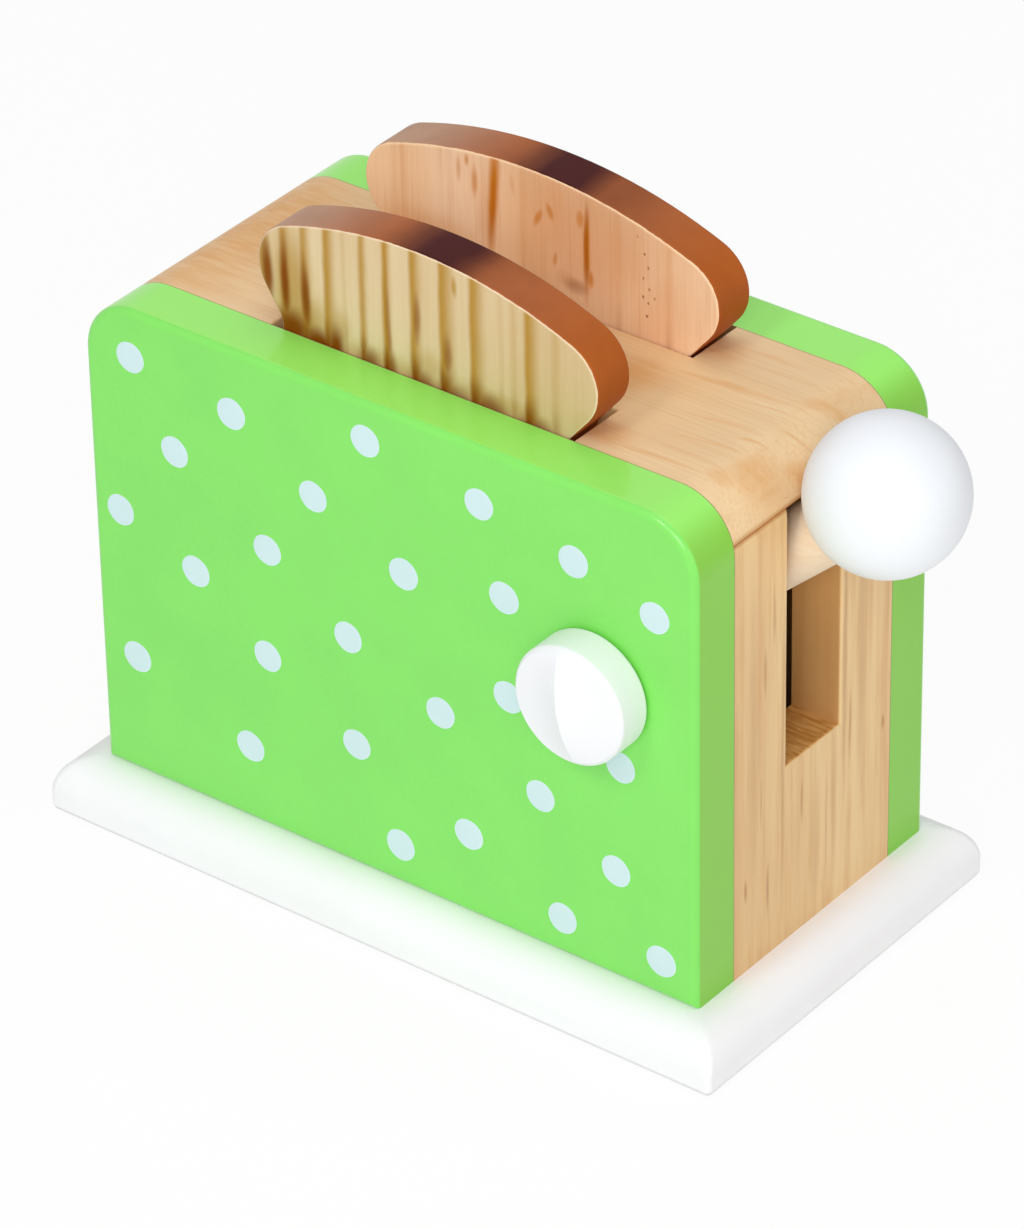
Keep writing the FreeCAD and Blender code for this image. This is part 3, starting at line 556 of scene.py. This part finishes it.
def paint(name, colour, grain_axis, roughness, mottling, relief, coat=0.0, coat_roughness=0.2,
          specular=0.25, finish=None):
    """Sprayed satin paint on sanded wood: slight mottling, and the grain faintly in relief."""
    graph = Graph(name)
    frame_mm = grain_frame(graph, grain_axis, (0, 0, 0))
    cloudy = graph.noise(graph.mm, scale=0.045, detail=3.0)
    fine = graph.noise(graph.mm, scale=1.6, detail=3.0, roughness=0.6)
    grain = fibres(graph, frame_mm, across=1.1, along=FIBRE_LENGTH_SCALE, detail=3.0)
    darker = tuple(c * (1 - 2 * mottling) for c in colour)
    lighter = tuple(min(1.0, c * (1 + 2 * mottling)) for c in colour)
    shade = graph.math("MULTIPLY_ADD", fine, 0.35, graph.times(cloudy, 0.65))
    tone = graph.mix(graph.spread(shade, 0.15), darker, lighter)
    gloss = graph.spread(cloudy, 0.2, roughness - 0.04, roughness + 0.05)
    if finish is not None:
        tone, gloss = finish(graph, tone, gloss)
    height = graph.math("MULTIPLY_ADD", grain, 0.7, graph.times(fine, 0.3))
    normal = graph.bump(height, relief, distance_mm=0.15)
    return graph.finish(tone, gloss, normal, coat, coat_roughness, specular)


def green_finish(graph, tone, gloss):
    """The paint is yellower on the panel's edges, with painted shade on the upright end edges, and
    the panel's inner face is bare wood in a dark tone that is partly painted shade.
    """
    # Painted shade on the end edges that face along X.
    shaded_side = graph.rise(graph.size(graph.normal_x), *PANEL_SIDE_FACING)
    on_face = graph.rise(graph.size(graph.normal_y), *PANEL_FACE_FACING)
    tone = graph.mix(on_face, graph.mix(shaded_side, GREEN_TOP, GREEN_SIDE_SHADED), tone)
    # Bare wood, partly painted shade, on the panel's inner face.
    inside = graph.fall(graph.size(graph.y), PANEL_INNER_Y + 0.1, PANEL_INNER_Y + 0.3)
    return graph.mix(inside, tone, BARE_PANEL_SHADED), gloss


def base_finish(graph, tone, gloss):
    """Painted shade: the paint is made grey along the base's rounded lower edge, where it turns
    under.
    """
    low = graph.fall(graph.z, *SHADED_EDGE_Z)
    upright = graph.fall(graph.size(graph.normal_z), *BASE_EDGE_FACING)
    return graph.mix(graph.times(low, upright), tone, SHADED_EDGE_WHITE), gloss


# --- Plastic and steel --------------------------------------------------------------------------

ZINC_DARK = (0.5, 0.51, 0.53)
ZINC_PALE = (0.66, 0.67, 0.68)
ZINC_ROUGHNESS = (0.3, 0.42)
TURNING_SCALE = (1.5, 14.0, 1.5)
PLASTIC_ROUGHNESS = (0.52, 0.62)


def matte_plastic(name, colour):
    """Moulded plastic with a fine spark-eroded texture."""
    graph = Graph(name)
    cloudy = graph.noise(graph.mm, scale=0.3, detail=3.0)
    grit = graph.noise(graph.mm, scale=9.0)
    tone = graph.mix(graph.spread(cloudy, 0.2), tuple(0.93 * c for c in colour), colour)
    gloss = graph.spread(cloudy, 0.2, *PLASTIC_ROUGHNESS)
    normal = graph.bump(grit, strength=0.2, distance_mm=0.03)
    return graph.finish(tone, gloss, normal, specular=0.4)


def zinc_steel(name):
    """Zinc-plated steel: dull, slightly mottled, with turning marks across the head."""
    graph = Graph(name)
    cloudy = graph.noise(graph.mm, scale=0.8, detail=3.0)
    turning = graph.noise(graph.scaled(graph.mm, TURNING_SCALE))
    tone = graph.mix(graph.spread(cloudy, 0.2), ZINC_DARK, ZINC_PALE)
    gloss = graph.spread(turning, 0.2, *ZINC_ROUGHNESS)
    graph.shader.inputs["Metallic"].default_value = 1.0
    return graph.finish(tone, gloss, graph.bump(turning, strength=0.15, distance_mm=0.03))


# --- The part's materials -----------------------------------------------------------------------

TOP_TONES = (srgb(246, 214, 168), srgb(238, 204, 158), srgb(217, 160, 97))
END_TONES = (srgb(243, 209, 154), srgb(235, 197, 142), srgb(211, 148, 91))
LEVER_TONES = (srgb(250, 233, 207), srgb(246, 225, 196), srgb(237, 201, 156))
DOWEL_TONES = (srgb(236, 206, 162), srgb(228, 194, 148), srgb(198, 150, 98))
PLYWOOD_TONES = (srgb(230, 200, 154), srgb(222, 188, 140), srgb(190, 142, 90))
FRONT_SLICE_TONES = (srgb(232, 207, 168), srgb(225, 198, 157), srgb(203, 162, 102))
BACK_SLICE_TONES = (srgb(255, 222, 189), srgb(250, 208, 167), srgb(215, 149, 92))

SATIN_WHITE = {"roughness": 0.45, "mottling": 0.006}
DOWEL = {"shift": (0, -40, 0), "tones": DOWEL_TONES, "spacing": 3.0, "warp": 4.0, "rings": 0.4,
         "streaks": 0.3}
BARE_SLICE = {"axis": "z", "spacing": 9.0, "warp": 8.0, "roughness": 0.5, "coat": 0.0,
              "specular": 0.1}

MATERIALS = {
    "green": paint("green_paint", GREEN, "x", roughness=0.36, mottling=0.012, relief=0.08,
                   coat=0.35, coat_roughness=0.12, specular=0.3, finish=green_finish),
    "white_base": paint("white_base_paint", srgb(252, 251, 253), "x", relief=0.10,
                        finish=base_finish, **SATIN_WHITE),
    "white_ball": paint("white_ball_paint", srgb(244, 246, 250), "z", relief=0.04, **SATIN_WHITE),
    "white_knob": paint("white_knob_paint", srgb(246, 246, 249), "z", relief=0.04, **SATIN_WHITE),
    "dots": paint("dot_paint", srgb(212, 236, 238), "x", roughness=0.42, mottling=0.008,
                  relief=0.04),
    "top": wood("top_pine", "x", (4, 60, 0), TOP_TONES, spacing=5.5, warp=9.0, rings=0.25,
                streaks=0.3, specular=0.25, finish=top_finish),
    "end": wood("end_pine", "z", (-60, 9, 0), END_TONES, spacing=5.6, warp=7.0, rings=0.45,
                streaks=0.32, streak_fineness=0.45, specular=0.25, finish=end_finish),
    "lever": wood("lever_wood", "x", (3, -120, 0), LEVER_TONES, spacing=3.0, warp=3.0, rings=0.3,
                  streaks=0.3),
    "dowel_y": wood("cross_dowel_wood", "y", **DOWEL),
    "dowel_z": wood("upright_dowel_wood", "z", **DOWEL),
    "plywood": wood("lift_plywood", "x", (0, -70, 0), PLYWOOD_TONES, spacing=6.0, warp=9.0,
                    rings=0.3, streaks=0.3, roughness=0.55, coat=0.0, finish=plywood_finish),
    "washer": matte_plastic("washer_plastic", srgb(232, 231, 224)),
    "steel": zinc_steel("screw_steel"),
    "front_toast": wood(
        "front_toast_wood", shift=(-40, 80, 0), tones=FRONT_SLICE_TONES, rings=0.15, streaks=0.12,
        finish=slice_finish(
            FRONT_SLICE_FACE_Y, FRONT_SLICE_RINGS, FRONT_SLICE_HONEY, FRONT_SLICE_BROWN_AND_SHADE,
            FRONT_SLICE_SCORCHED, honey_colour=srgb(184, 137, 52), brown_colour=srgb(134, 68, 2),
            sanded_edge_and_highlight_colour=srgb(249, 225, 193)),
        **BARE_SLICE),
    "back_toast": wood(
        "back_toast_wood", shift=(-20, 60, 0), tones=BACK_SLICE_TONES, rings=0.2, streaks=0.22,
        finish=slice_finish(
            BACK_SLICE_FACE_Y, BACK_SLICE_RINGS, BACK_SLICE_HONEY, BACK_SLICE_BROWN,
            BACK_SLICE_SCORCHED, honey_colour=srgb(208, 124, 28), brown_colour=srgb(140, 70, 20),
            sanded_edge_and_highlight_colour=srgb(253, 219, 178)),
        **BARE_SLICE),
}

NODE_MATERIALS = {
    "base_board": "white_base",
    "front_panel": "green",
    "back_panel": "green",
    "top_block": "top",
    "lever_end_board": "end",
    "plain_end_board": "end",
    "lever_arm": "lever",
    "lever_ball": "white_ball",
    "lift_board": "plywood",
    "guide_post_inner": "dowel_z",
    "guide_post_outer": "dowel_z",
    "top_block_dowels": "dowel_z",
    "front_toast": "front_toast",
    "back_toast": "back_toast",
    "knob": "white_knob",
    "knob_washer": "washer",
    "base_screws": "steel",
}
OTHER_NODES = "dowel_y"

for node_name, node_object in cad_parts.items():
    material = MATERIALS[NODE_MATERIALS.get(node_name, OTHER_NODES)]
    for material_slot in node_object.material_slots:
        material_slot.material = material


# --- Painted dots -------------------------------------------------------------------------------

DOT_RADIUS = 4.3
DOT_RADIUS_SPREAD = 0.02    # shares of the radius, here and in the next two lines
DOT_OVAL = 0.012
DOT_RIPPLE = 0.006
DOT_THICKNESS = 0.06
DOT_RIM_SINK = 0.01         # how far the rim lies below the panel's face, so that it leaves no gap
DOT_SIDES = 48
DOT_RINGS = ((0.55, 1.0), (0.85, 0.9), (1.0, 0.0))    # shares of the radius and of the thickness
DOT_SEED = 7

# Each dot's X, and its height above the base board. Both panels have the same dots.
DOTS = [
    (-75.7, 119.6), (-45.0, 115.0), (-4.6, 122.1), (-63.2, 97.9), (-20.9, 101.0), (28.5, 117.1),
    (-81.3, 75.0), (-35.6, 80.6), (55.5, 111.7), (-58.3, 66.1), (5.7, 89.5), (35.3, 94.2),
    (78.4, 105.2), (-11.7, 65.2), (-36.8, 50.1), (-78.4, 33.8), (15.7, 54.6), (-10.1, 35.3),
    (-43.4, 21.5), (45.0, 42.8), (23.4, 23.0), (2.5, 11.3), (66.9, 30.5), (51.0, 10.3),
    (79.9, 10.1), (36.0, 67.0), (68.5, 60.4),
]


def put_in_scene(name, data):
    """A new object with this data, in the scene."""
    made = bpy.data.objects.new(name, data)
    bpy.context.scene.collection.objects.link(made)
    return made


def add_dot(mesh, outward, x, z, radius, phase):
    """One slightly uneven dot: a flat middle, and rings of faces that fall to its rim."""
    def corner(across, up, proud):
        return mesh.verts.new((across * MM, outward * (HALF_DEPTH + proud) * MM, up * MM))

    centre = corner(x, z, DOT_THICKNESS)
    inner = None
    for share, lift in DOT_RINGS:
        ring = []
        for step in range(DOT_SIDES):
            angle = math.tau * step / DOT_SIDES
            uneven = (DOT_OVAL * math.sin(2 * angle + phase)
                      + DOT_RIPPLE * math.sin(5 * angle + 2 * phase))
            reach = radius * share * (1 + uneven)
            proud = DOT_THICKNESS * lift if lift > 0 else -DOT_RIM_SINK
            ring.append(corner(x + reach * math.cos(angle), z + reach * math.sin(angle), proud))
        for step in range(DOT_SIDES):
            after = (step + 1) % DOT_SIDES
            if inner is None:
                face = [centre, ring[step], ring[after]]
            else:
                face = [inner[step], ring[step], ring[after], inner[after]]
            mesh.faces.new(face if outward < 0 else face[::-1])
        inner = ring


def dots(name, outward, places):
    """Thin round paint dots with soft rims on the outer face of one panel.

    outward is -1 for the front panel and 1 for the back panel.
    """
    made = bmesh.new()
    rng = random.Random(DOT_SEED)
    for x, height in places:
        radius = DOT_RADIUS * (1 + rng.uniform(-DOT_RADIUS_SPREAD, DOT_RADIUS_SPREAD))
        phase = rng.uniform(0, math.tau)
        add_dot(made, outward, x, BASE_TOP + height, radius, phase)
    bmesh.ops.recalc_face_normals(made, faces=made.faces)
    mesh = bpy.data.meshes.new(name)
    made.to_mesh(mesh)
    made.free()
    for polygon in mesh.polygons:
        polygon.use_smooth = True
    mesh.materials.append(MATERIALS["dots"])
    return put_in_scene(name, mesh)


front_dots = dots("front_dots", -1, DOTS)
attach(front_dots, "body")
back_dots = dots("back_dots", 1, DOTS)
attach(back_dots, "body")


# --- Floor, light and camera --------------------------------------------------------------------

FLOOR_REACH = 4.0
FLOOR_WHITE = 0.96
BACKDROP_SHARE = 0.92       # how much of the floor that is seen is plain white, without shadow
SKY_COLOUR = (0.97, 0.985, 1.0)
SKY_STRENGTH = 0.427
WHITE = (1.0, 1.0, 1.0)
WARM_WHITE = (1.0, 0.975, 0.92)

CAMERA_PLACE = (0.84386, -1.07647, 0.95624)
CAMERA_TARGET = (0.00864, -0.00954, 0.075)
CAMERA_ROLL = -1.064        # degrees
CAMERA_LENS = 198.57
CAMERA_SENSOR = 36.0
CAMERA_CLIP = (0.05, 50.0)


def backdrop_light(tree):
    """1 for what the camera sees directly, in a mirror or through glass, 0 for other light."""
    path = tree.nodes.new("ShaderNodeLightPath")
    seen = path.outputs["Is Camera Ray"]
    for name in ("Is Glossy Ray", "Is Transmission Ray"):
        either = tree.nodes.new("ShaderNodeMath")
        either.operation = "MAXIMUM"
        tree.links.new(seen, either.inputs[0])
        tree.links.new(path.outputs[name], either.inputs[1])
        seen = either.outputs[0]
    return seen


def shader(tree, kind, colour, strength=None):
    """The output of a plain shader node of one colour."""
    node = tree.nodes.new("ShaderNode" + kind)
    node.inputs["Color"].default_value = colour + (1.0,)
    if strength is not None:
        node.inputs["Strength"].default_value = strength
    return node.outputs[0]


def show_backdrop(tree, output_kind, factor, lit, seen):
    """Ends a tree in one shader for the light, and another for what is seen of the backdrop."""
    blend = tree.nodes.new("ShaderNodeMixShader")
    for socket, value in zip(blend.inputs, (factor, lit, seen)):
        tree.links.new(value, socket)
    output = tree.nodes.new("ShaderNode" + output_kind)
    tree.links.new(blend.outputs[0], output.inputs["Surface"])


def make_floor():
    reach = FLOOR_REACH
    corners = [(-reach, -reach, 0), (reach, -reach, 0), (reach, reach, 0), (-reach, reach, 0)]
    mesh = bpy.data.meshes.new("floor")
    mesh.from_pydata(corners, [], [(0, 1, 2, 3)])
    material = bpy.data.materials.new("floor")
    tree = empty_tree(material)
    share = tree.nodes.new("ShaderNodeMath")
    share.operation = "MULTIPLY"
    share.inputs[1].default_value = BACKDROP_SHARE
    tree.links.new(backdrop_light(tree), share.inputs[0])
    show_backdrop(tree, "OutputMaterial", share.outputs[0],
                  shader(tree, "BsdfDiffuse", (FLOOR_WHITE,) * 3),
                  shader(tree, "Emission", WHITE, 1.0))
    mesh.materials.append(material)
    floor = put_in_scene("floor", mesh)


def make_world():
    world = bpy.data.worlds.new("studio")
    bpy.context.scene.world = world
    tree = empty_tree(world)
    show_backdrop(tree, "OutputWorld", backdrop_light(tree),
                  shader(tree, "Background", SKY_COLOUR, SKY_STRENGTH),
                  shader(tree, "Background", WHITE, 1.0))


def aim(place, target):
    """The turn that points a lamp or camera at this place to that target."""
    return (Vector(target) - Vector(place)).to_track_quat("-Z", "Y")


def area_light(name, place, target, size, watts, colour=WHITE):
    data = bpy.data.lights.new(name, "AREA")
    data.shape = "DISK"
    data.size = size
    data.energy = watts
    data.color = colour
    light = put_in_scene(name, data)
    light.location = place
    light.rotation_euler = aim(place, target).to_euler()


def make_camera():
    data = bpy.data.cameras.new("camera")
    data.sensor_fit = "AUTO"
    data.sensor_width = CAMERA_SENSOR
    data.lens = CAMERA_LENS
    data.clip_start, data.clip_end = CAMERA_CLIP
    camera = put_in_scene("camera", data)
    camera.location = CAMERA_PLACE
    roll = Quaternion((0, 0, 1), math.radians(CAMERA_ROLL))
    camera.rotation_euler = (aim(CAMERA_PLACE, CAMERA_TARGET) @ roll).to_euler()
    bpy.context.scene.camera = camera


make_floor()
make_world()
area_light("key", place=(0.0, -1.3, 1.4), target=(0.04, -0.03, 0.1), size=0.5, watts=6.2)
area_light("front", place=(0.85, -1.25, 1.0), target=(0, 0, 0.08), size=0.9, watts=10.1)
area_light("side", place=(1.6, -0.3, 0.6), target=(0, 0, 0.08), size=0.8, watts=2.15,
           colour=WARM_WHITE)
area_light("top", place=(0.1, 0.2, 1.7), target=(0, 0, 0.1), size=1.2, watts=4.45)
make_camera()
bpy.context.scene.view_settings.view_transform = "Standard"
